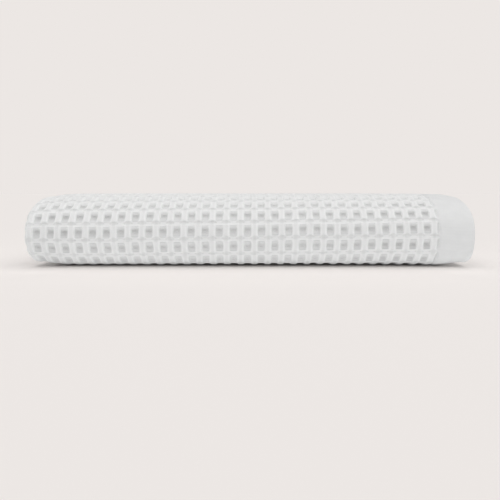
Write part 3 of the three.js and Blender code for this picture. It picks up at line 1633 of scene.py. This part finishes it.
@dataclass(frozen=True)
class Cotton:
    """White cotton yarn: what the waffle's finish and the hem's have in common.

    Args:
        name: of the material.
        plain: the group of the yarns.
        fuzz: the group of the fibres.
        colour: of the cotton.
        roughness: of its gloss.
        sheen: how much it shines when seen aslant.
        sheen_roughness: how widely.
        specular: how strong its gloss is.
        yarn_height: relief of a yarn.
        fuzz_height: relief of the fibres.
        tone_change: how much its tone varies.
        gap_shade: how much darker the painted shade between two yarns makes it.
    """

    name: str
    plain: PlainYarns
    fuzz: CottonFuzz
    colour: Colour = (0.81, 0.81, 0.807)
    roughness: float = 0.9
    sheen: float = 0.12
    sheen_roughness: float = 0.5
    specular: float = 0.25
    yarn_height: float = 0.22 * MM
    fuzz_height: float = 0.035 * MM
    tone_change: float = 0.05
    gap_shade: float = 0.08

    def material(self) -> bpy.types.Material:
        """Makes the material.

        Returns:
            The material, which reads the cloth's UV map and Object coordinates.
        """
        gloss = {"Roughness": self.roughness, "Specular IOR Level": self.specular}
        sheen = {"Sheen Weight": self.sheen, "Sheen Roughness": self.sheen_roughness}
        made, shader = new_material(self.name, gloss | sheen)
        tree = made.node_tree
        height, shade = self.weave(*self._cloth_place(tree))
        fuzz = self.fuzz.place_in(tree, {"Place": object_place(tree)})
        tone = (fuzz["Tone"] - 0.5) * self.tone_change + 1.0
        # The base colour carries painted shade, and the cotton's own uneven tone.
        self._paint(shade * tone, shader)
        self._raise(height * self.yarn_height + fuzz["Height"] * self.fuzz_height, shader)
        return made

    def weave(self, across: Field, along: Field) -> tuple[Field, Field]:
        """The yarns' height, from 0 to 1, and their brightness with the painted shade.

        Args:
            across: places across the cloth in cells.
            along: places along it in cells.

        Returns:
            The height and the brightness with the painted shade.
        """
        raise NotImplementedError

    def _cloth_place(self, tree: bpy.types.NodeTree) -> tuple[Field, Field]:
        """Places in the weave, from the cloth's UV map.

        Args:
            tree: of the material.

        Returns:
            Places across and along the cloth, in cells.
        """
        read = tree.nodes.new("ShaderNodeUVMap")
        read.uv_map = CLOTH_MAP
        return Field(tree, read.outputs["UV"]).parts()

    def _paint(self, bright: Field, shader: bpy.types.Node) -> None:
        """Paints the brightness, with its painted shade, into the base colour.

        Args:
            bright: the brightness, with the painted shade.
            shader: the material's shader.
        """
        paint = bright.tree.nodes.new("ShaderNodeVectorMath")
        paint.operation = "SCALE"
        paint.inputs[0].default_value = self.colour
        feed(paint.inputs["Scale"], bright)
        feed(shader.inputs["Base Color"], Field(bright.tree, paint.outputs["Vector"]))

    def _raise(self, height: Field, shader: bpy.types.Node) -> None:
        """Gives the surface its fine relief.

        Args:
            height: of the relief in metres.
            shader: the material's shader.
        """
        bump = height.tree.nodes.new("ShaderNodeBump")
        bump.inputs["Distance"].default_value = 1.0
        feed(bump.inputs["Height"], height)
        feed(shader.inputs["Normal"], Field(height.tree, bump.outputs["Normal"]))


@dataclass(frozen=True)
class WaffleCotton(Cotton):
    """The waffle: long floats on the rims, and plain weave in the hollows and on the crossings, with
    painted shade in its colour.

    Args:
        waffle: the sizes that the relief has.
        fold_cell: where the tight fold at the left pulls the weave flat, in cells.
        fold_reach: how far from it the painted shade of the hollows sets in, in cells.
        yarns: how many run through a cell each way.
        turn_taking: how gradually plain weave turns to floats.
        crossing_from: how far aside and along, added up, the plain weave of the crossings starts.
        crossing_turns: how much more gradually it turns to floats there.
        hollow_shade: how much darker the painted shade makes a hollow.
        hollow_edge: over which part of its size that painted shade fades out.
        shade_along: half of the painted shade's length, in cells.
        shade_down: how far down the painted shade is moved over the low rows, in cells.
        core_shade: how much darker the painted shade makes the core of a hollow.
        core_across: where the core fades out across the cloth.
        core_along: where it fades out along the cloth.
        end_cells: over which cells the painted shade of the cores gets darker towards both ends.
        end_darker: how much darker it gets.
        right_cells: over which cells the painted shade of the low rows gets as dark as the others' at the
            right.
        crest_rows: where the rows of the crest, whose painted shade is paler, start, are full, are still
            full and end, in cells.
        crest_share: what share of the painted shade they have.
        low_rows: where the low rows start, in cells.
        low_share: what share of the core's painted shade they have.
        low_core: how far down the painted shade of their cores is moved, in cells.
        pair_shade: how much darker the painted shade in the grooves between the pairs of weft yarns is.
        pair_line: half of the width of such a groove, in pairs.
        ridge_shade: how much darker the painted shade makes the middle of a ridge at the sides.
        cross_shade: how much darker the painted shade makes a ridge at the ends between its crossings.
        arch_shade: how much darker the painted shade makes the arched dimples of the crossings.
        arch_line: half of the width of the painted shadow line along their upper edge.
        arch_line_in: how far inside the edge that line lies.
        arch_line_fade: where it fades out along the cloth.
        line_shade: how much darker that painted shadow line is.
    """

    waffle: Waffle = Waffle()
    fold_cell: float = 0.0
    fold_reach: tuple[float, float] = (0.3, 1.2)
    # Paler than the hem's colour, though both are the same cotton, to make up for the painted shade.
    colour: Colour = (0.94, 0.94, 0.935)
    yarns: int = 10
    turn_taking: float = 0.20
    crossing_from: float = 0.78
    crossing_turns: float = 0.5
    hollow_shade: float = 0.14
    hollow_edge: tuple[float, float] = (0.12, 0.65)
    shade_along: float = 0.43
    shade_down: float = 0.07
    core_shade: float = 0.085
    core_across: tuple[float, float] = (0.12, 0.30)
    core_along: tuple[float, float] = (0.10, 0.28)
    end_cells: tuple[float, float] = (5.0, 13.0)
    end_darker: float = 0.7
    right_cells: tuple[float, float] = (5.0, 10.0)
    crest_rows: tuple[float, float, float, float] = (-5.6, -4.0, -3.2, -1.2)
    crest_share: float = 0.42
    low_rows: tuple[float, float] = (0.4, 0.6)
    low_share: float = 0.4
    low_core: float = 0.14
    pair_shade: float = 0.10
    pair_line: float = 0.32
    ridge_shade: float = 0.055
    cross_shade: float = 0.04
    arch_shade: float = 0.06
    arch_line: float = 0.045
    arch_line_in: float = 0.01
    arch_line_fade: tuple[float, float] = (-0.04, 0.02)
    line_shade: float = 0.05

    def weave(self, across: Field, along: Field) -> tuple[Field, Field]:
        """Yarns that float where the wall that they climb says.

        Args:
            across: places across the cloth in cells.
            along: places along it in cells.

        Returns:
            The height and the brightness with the painted shade.
        """
        waffle = self.waffle
        ends, picks = across * float(self.yarns), along * float(self.yarns)
        end_share = self._share(ends, across)
        pick_share = self._share(picks, along)
        lead = end_share * (1 / waffle.rim_across) - pick_share * (1 / waffle.rim_along)
        crossing = (end_share + pick_share).over(self.crossing_from) * self.crossing_turns
        floats = lead.reckon("DIVIDE", crossing + self.turn_taking)
        yarns = self.plain.place_in(across.tree, {"Ends": ends, "Picks": picks, "Float": floats})
        # Painted shade of the relief, and painted shade between the yarns.
        shade = self._depth_shade(across, along) * (yarns["Gap"] * self.gap_shade).rest()
        return yarns["Height"], shade

    def _depth_shade(self, across: Field, along: Field) -> Field:
        """Painted shade: darker in the hollows, most in their cores, and a little between the rims.

        Args:
            across: places across the cloth in cells.
            along: places along it in cells.

        Returns:
            The brightness with the painted shade, 1 where nothing is darker.
        """
        # Painted shade, which stands in for the shade that falls into the hollows, the dips and the
        # grooves.
        waffle = self.waffle
        a = (across - across.nearest()).size()
        down = along - along.nearest()
        b = down.size()
        low = along.ease(*self.low_rows)
        below = down - low.rest() * self.shade_down
        core = self._core(a, below - low * self.low_core) * self._core_darkness(across, low)
        away = (across - self.fold_cell).size().ease(*self.fold_reach)
        hollow = (self._hollow(a, below) + core) * self._crest_share(along) * away
        # Painted shade in the middles of the ridges at the sides, and on the ridges at the ends between
        # the crossings.
        ridge = a.ease(*waffle.side_dip_at) * self.ridge_shade
        cross = a.ease(*waffle.saddle_across).rest() * b.ease(*waffle.saddle_along) * self.cross_shade
        plain = hollow.rest() * self._pairs(a, b).rest()
        return plain * (ridge + cross).rest() * self._arch(a, along).rest()

    def _hollow(self, a: Field, below: Field) -> Field:
        """The wide painted shade of a hollow.

        Args:
            a: distances across from the middle of the hollow, in cells.
            below: how far below the shade's middle a place is, in cells.

        Returns:
            How much darker it is.
        """
        a2 = (a * (1 / self.waffle.rim_across)).reckon("POWER", 2.0)
        b2 = (below * (1 / self.shade_along)).reckon("POWER", 2.0)
        return (a2 * a2 + b2 * b2).ease(*self.hollow_edge).rest() * self.hollow_shade

    def _core(self, a: Field, below: Field) -> Field:
        """Where the painted shade of a hollow's core is: 1 in it, 0 outside."""
        return below.size().ease(*self.core_along).rest() * a.ease(*self.core_across).rest()

    def _core_darkness(self, across: Field, low: Field) -> Field:
        """How dark the painted shade of the cores is.

        Args:
            across: places across the cloth in cells.
            low: 1 in the low rows, 0 over them.

        Returns:
            The painted shade, more towards both ends, and less in the low rows except at the right.
        """
        # The painted shade of the cores is darker towards both ends.
        deeper = across.size().ease(*self.end_cells) * self.end_darker + 1.0
        right = (across * -1.0).ease(*self.right_cells)
        paler = (low * right.rest() * (1 - self.low_share)).rest()
        return deeper * paler * self.core_shade

    def _crest_share(self, along: Field) -> Field:
        """What share of the hollows' painted shade each row has, less in the rows of the crest.

        Args:
            along: places along the cloth in cells.

        Returns:
            The share, 1 away from the crest.
        """
        first, full, still, last = self.crest_rows
        crest = along.ease(first, full) * along.ease(still, last).rest()
        return (crest * (1 - self.crest_share)).rest()

    def _pairs(self, a: Field, b: Field) -> Field:
        """Painted shade in the grooves between the pairs of weft yarns.

        Args:
            a: distances across from the middle of the hollow, in cells.
            b: distances along from it, in cells.

        Returns:
            How much darker they are.
        """
        waffle = self.waffle
        # Painted shade along the grooves between the pairs of weft yarns.
        steps = b * (1 / waffle.pair) - 0.5
        groove = (steps - steps.nearest()).size().ease(0.0, self.pair_line).rest()
        inside = a.ease(*waffle.pairs_across).rest() * b.ease(*waffle.pairs_along).rest()
        wedge = (b - a * waffle.wedge).ease(*waffle.wedge_fade)
        return groove * inside * wedge * self.pair_shade

    def _arch(self, a: Field, along: Field) -> Field:
        """Painted shade in the arched dimples of the crossings, with a painted shadow line along their
        upper edge.

        Args:
            a: distances across from the middle of the hollow, in cells.
            along: places along the cloth in cells.

        Returns:
            How much darker they are.
        """
        waffle = self.waffle
        # Painted shade of the dimples, and a painted shadow line at their upper edge.
        aside = (a * -1.0 + 0.5) * (1 / waffle.arch_half)
        reach = (aside * aside).rest() * waffle.arch_rise
        below = along.reckon("FRACT") - 0.5
        inside = reach - below.size()
        line = (inside - self.arch_line_in).size().ease(0.0, self.arch_line).rest()
        line = line * below.ease(*self.arch_line_fade).rest() * self.line_shade
        return inside.ease(0.0, waffle.arch_edges[0]) * self.arch_shade + line

    def _share(self, yarns: Field, cells: Field) -> Field:
        """How far the middle of the yarn at a place lies from the middle of the hollow, in cells."""
        middle = (yarns.whole() + 0.5) * (1 / self.yarns)
        return (middle - cells.nearest()).size()


@dataclass(frozen=True)
class HemCotton(Cotton):
    """The plain hem, whose weft makes faint ribs.

    Args:
        ends: how many yarns run along the cloth in a cell of the waffle.
        picks: how many run across it there.
        weft_up: how far the weft stays on top, under 0.
        rib_height: what share of the yarns' relief it has.
    """

    tone_change: float = 0.09
    ends: float = 13.0
    picks: float = 11.0
    weft_up: float = -0.2
    rib_height: float = 0.5

    def weave(self, across: Field, along: Field) -> tuple[Field, Field]:
        """Finer yarns that take turns everywhere.

        Args:
            across: places across the cloth in cells.
            along: places along it in cells.

        Returns:
            The height and the brightness with the painted shade.
        """
        ends, picks = across * self.ends, along * self.picks
        yarns = self.plain.place_in(across.tree, {"Ends": ends, "Picks": picks, "Float": self.weft_up})
        # Painted shade between the yarns.
        return yarns["Height"] * self.rib_height, (yarns["Gap"] * self.gap_shade).rest()


# Studio


@dataclass(frozen=True)
class SoftLight:
    """A wide soft light so far off that it reaches the whole object alike.

    Args:
        name: of its object.
        toward: direction from the object to the middle of the light.
        spread: how wide it is, in degrees.
        share: how much light it puts on the floor; 1 lights a white floor to full white.
        away: how far off its object stands, which changes nothing that it lights.
    """

    name: str
    toward: tuple[float, float, float]
    spread: float
    share: float
    away: float = 2.0

    def build(self) -> None:
        """Makes the light."""
        toward = Vector(self.toward).normalized()
        data = bpy.data.lights.new(self.name, "SUN")
        data.energy = self.share * math.pi / toward.z
        data.angle = math.radians(self.spread)
        light = add_object(self.name, data)
        light.location = toward * self.away
        light.rotation_euler = toward.to_track_quat("Z", "Y").to_euler()


@dataclass(frozen=True)
class Studio:
    """A pale floor that runs out of sight, soft light from above and from the front, and the camera.

    Args:
        seen_colour: of the floor and of what is behind it, as the camera sees them.
        thrown_colour: of the light that the floor throws back at the object.
        light_level: how brightly the floor is lit; 1 shows a colour as it is.
        floor_half: half of the floor's width.
        surround: strength of the even light from all round.
        floor_glow: how much more light the floor throws back than it gets.
        glow_fade: how far outside the stack that starts and is full, below 0 under it.
        near_shade: how much darker the painted shade makes the floor close to the stack.
        near_fade: how far outside the stack that painted shade starts to fade and is gone.
        near_inset: how far inside the stack's ends it stops.
        key: the soft light from above.
        camera_back: how far in front of the stack the camera stands.
        camera_height: how high over the floor.
        camera_x: how far right of the middle.
        tilt_down: how far it looks down, in degrees.
        focal: length of its lens, in millimetres.
        sensor: width of its sensor, in millimetres.
        clip: nearest and farthest distance that it sees.
    """

    seen_colour: Colour = (0.839, 0.799, 0.776)
    thrown_colour: Colour = (0.81, 0.81, 0.81)
    light_level: float = 0.95
    floor_half: float = 60.0
    surround: float = 0.27
    floor_glow: float = 0.38
    glow_fade: tuple[float, float] = (-25 * MM, -7 * MM)
    near_shade: float = 0.06
    near_fade: tuple[float, float] = (2 * MM, 60 * MM)
    near_inset: float = 55 * MM
    key: SoftLight = SoftLight("key", (0.10, -0.25, 1.0), 90.0, 0.68)
    camera_back: float = 379 * MM
    camera_height: float = 58 * MM
    camera_x: float = 0.6 * MM
    tilt_down: float = 6.5
    focal: float = 36.0
    sensor: float = 36.0
    clip: tuple[float, float] = (0.01, 200.0)

    def build(self, footprint: tuple[float, float]) -> None:
        """Makes the floor, the lights and the camera.

        Args:
            footprint: half of the stack's width and depth.
        """
        self._floor(footprint)
        self._camera(-footprint[1])
        self._surround()
        self.key.build()
        bpy.context.scene.view_settings.view_transform = "Standard"

    def _floor(self, footprint: tuple[float, float]) -> None:
        """A plain floor.

        Args:
            footprint: half of the stack's width and depth.
        """
        bm = bmesh.new()
        bmesh.ops.create_grid(bm, x_segments=1, y_segments=1, size=self.floor_half)
        floor = add_mesh("floor", bm)
        floor.data.materials.append(self._floor_paint(footprint))
        floor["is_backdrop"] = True

    def _floor_paint(self, footprint: tuple[float, float]) -> bpy.types.Material:
        """Paint that throws a little more light up at the object than it shows.

        Args:
            footprint: half of the stack's width and depth.

        Returns:
            The material.
        """
        dull = {"Roughness": 1.0, "Specular IOR Level": 0.0}
        made, shader = new_material("floor", dull | {"Emission Color": self.thrown_colour})
        tree = made.node_tree
        path = tree.nodes.new("ShaderNodeLightPath")
        seen = Field(tree, path.outputs["Is Camera Ray"])
        thrown = Field(tree, path.outputs["Is Diffuse Ray"])
        colour = seen.blend(self.thrown_colour, self._near_colour(tree, footprint))
        feed(shader.inputs["Base Color"], colour)
        glow = self._clear_of_stack(tree, footprint, self.glow_fade) * self.floor_glow
        feed(shader.inputs["Emission Strength"], thrown * glow)
        return made

    def _near_colour(self, tree: bpy.types.NodeTree, footprint: tuple[float, float]) -> Field:
        """The floor's colour, with painted shade a little darker in front of the stack and behind it.

        Args:
            tree: of the floor's material.
            footprint: half of the stack's width and depth.

        Returns:
            The colour.
        """
        colour = tuple(channel / self.light_level for channel in self.seen_colour)
        # Painted shade on the floor close to the stack.
        near = tuple(channel * (1 - self.near_shade) for channel in colour)
        inset = (footprint[0] - self.near_inset, footprint[1])
        return self._clear_of_stack(tree, inset, self.near_fade).blend(near, colour)

    def _clear_of_stack(
        self, tree: bpy.types.NodeTree, footprint: tuple[float, float], fade: tuple[float, float]
    ) -> Field:
        """Where the floor is clear of the stack.

        Args:
            tree: of the floor's material.
            footprint: half of the stack's width and depth.
            fade: how far outside that it starts being clear, and how far outside it is wholly so.

        Returns:
            0 under the stack, 1 clear of it.
        """
        beside, before = (
            place.size().ease(half + fade[0], half + fade[1])
            for place, half in zip(object_place(tree).parts(), footprint)
        )
        return beside.reckon("MAXIMUM", before)

    def _camera(self, front_y: float) -> None:
        """The camera at the height of the stack's top, looking a little down.

        Args:
            front_y: where the front of the stack is.
        """
        data = bpy.data.cameras.new("camera")
        data.sensor_width = self.sensor
        data.lens = self.focal
        data.clip_start, data.clip_end = self.clip
        camera = add_object("camera", data)
        camera.location = (self.camera_x, front_y - self.camera_back, self.camera_height)
        camera.rotation_euler = (math.radians(90 - self.tilt_down), 0, 0)
        bpy.context.scene.camera = camera

    def _surround(self) -> None:
        """Even light from all round, which the camera sees in the floor's own colour."""
        world = bpy.data.worlds.new("surround")
        bpy.context.scene.world = world
        world.use_nodes = True
        nodes, links = world.node_tree.nodes, world.node_tree.links
        light = nodes["Background"]
        feed(light.inputs["Color"], (1.0, 1.0, 1.0))
        feed(light.inputs["Strength"], self.surround)
        seen = nodes.new("ShaderNodeBackground")
        feed(seen.inputs["Color"], self.seen_colour)
        path = nodes.new("ShaderNodeLightPath")
        mix = nodes.new("ShaderNodeMixShader")
        links.new(path.outputs["Is Camera Ray"], mix.inputs["Fac"])
        links.new(light.outputs["Background"], mix.inputs[1])
        links.new(seen.outputs["Background"], mix.inputs[2])
        links.new(mix.outputs["Shader"], nodes["World Output"].inputs["Surface"])


def main() -> None:
    """Builds the bath sheet and the studio round the solid."""
    logging.basicConfig(level=logging.INFO, format="%(message)s")
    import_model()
    solid_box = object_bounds()
    cloth = Cloth()
    yarns = (PlainYarns(), CottonFuzz())
    waffle = WaffleCotton("waffle cotton", *yarns, fold_cell=cloth.left_fold_cell).material()
    hem = HemCotton("hem cotton", *yarns).material()
    panels = (
        FrontFold("front_fold", cloth),
        TopLayer("top_layer", cloth),
        Underside("underside", cloth),
        InnerPlies("inner_plies", cloth),
        InnerStrips("inner_strips", cloth),
        OuterEnd("outer_end", cloth),
    )
    for panel in panels:
        piece = panel.build()
        panel.dress(piece, (waffle, hem))
        log.info("%s: %d faces", piece.name, len(piece.data.polygons))
    Studio().build((solid_box[1][0], solid_box[1][1]))


if __name__ == "__main__":
    main()
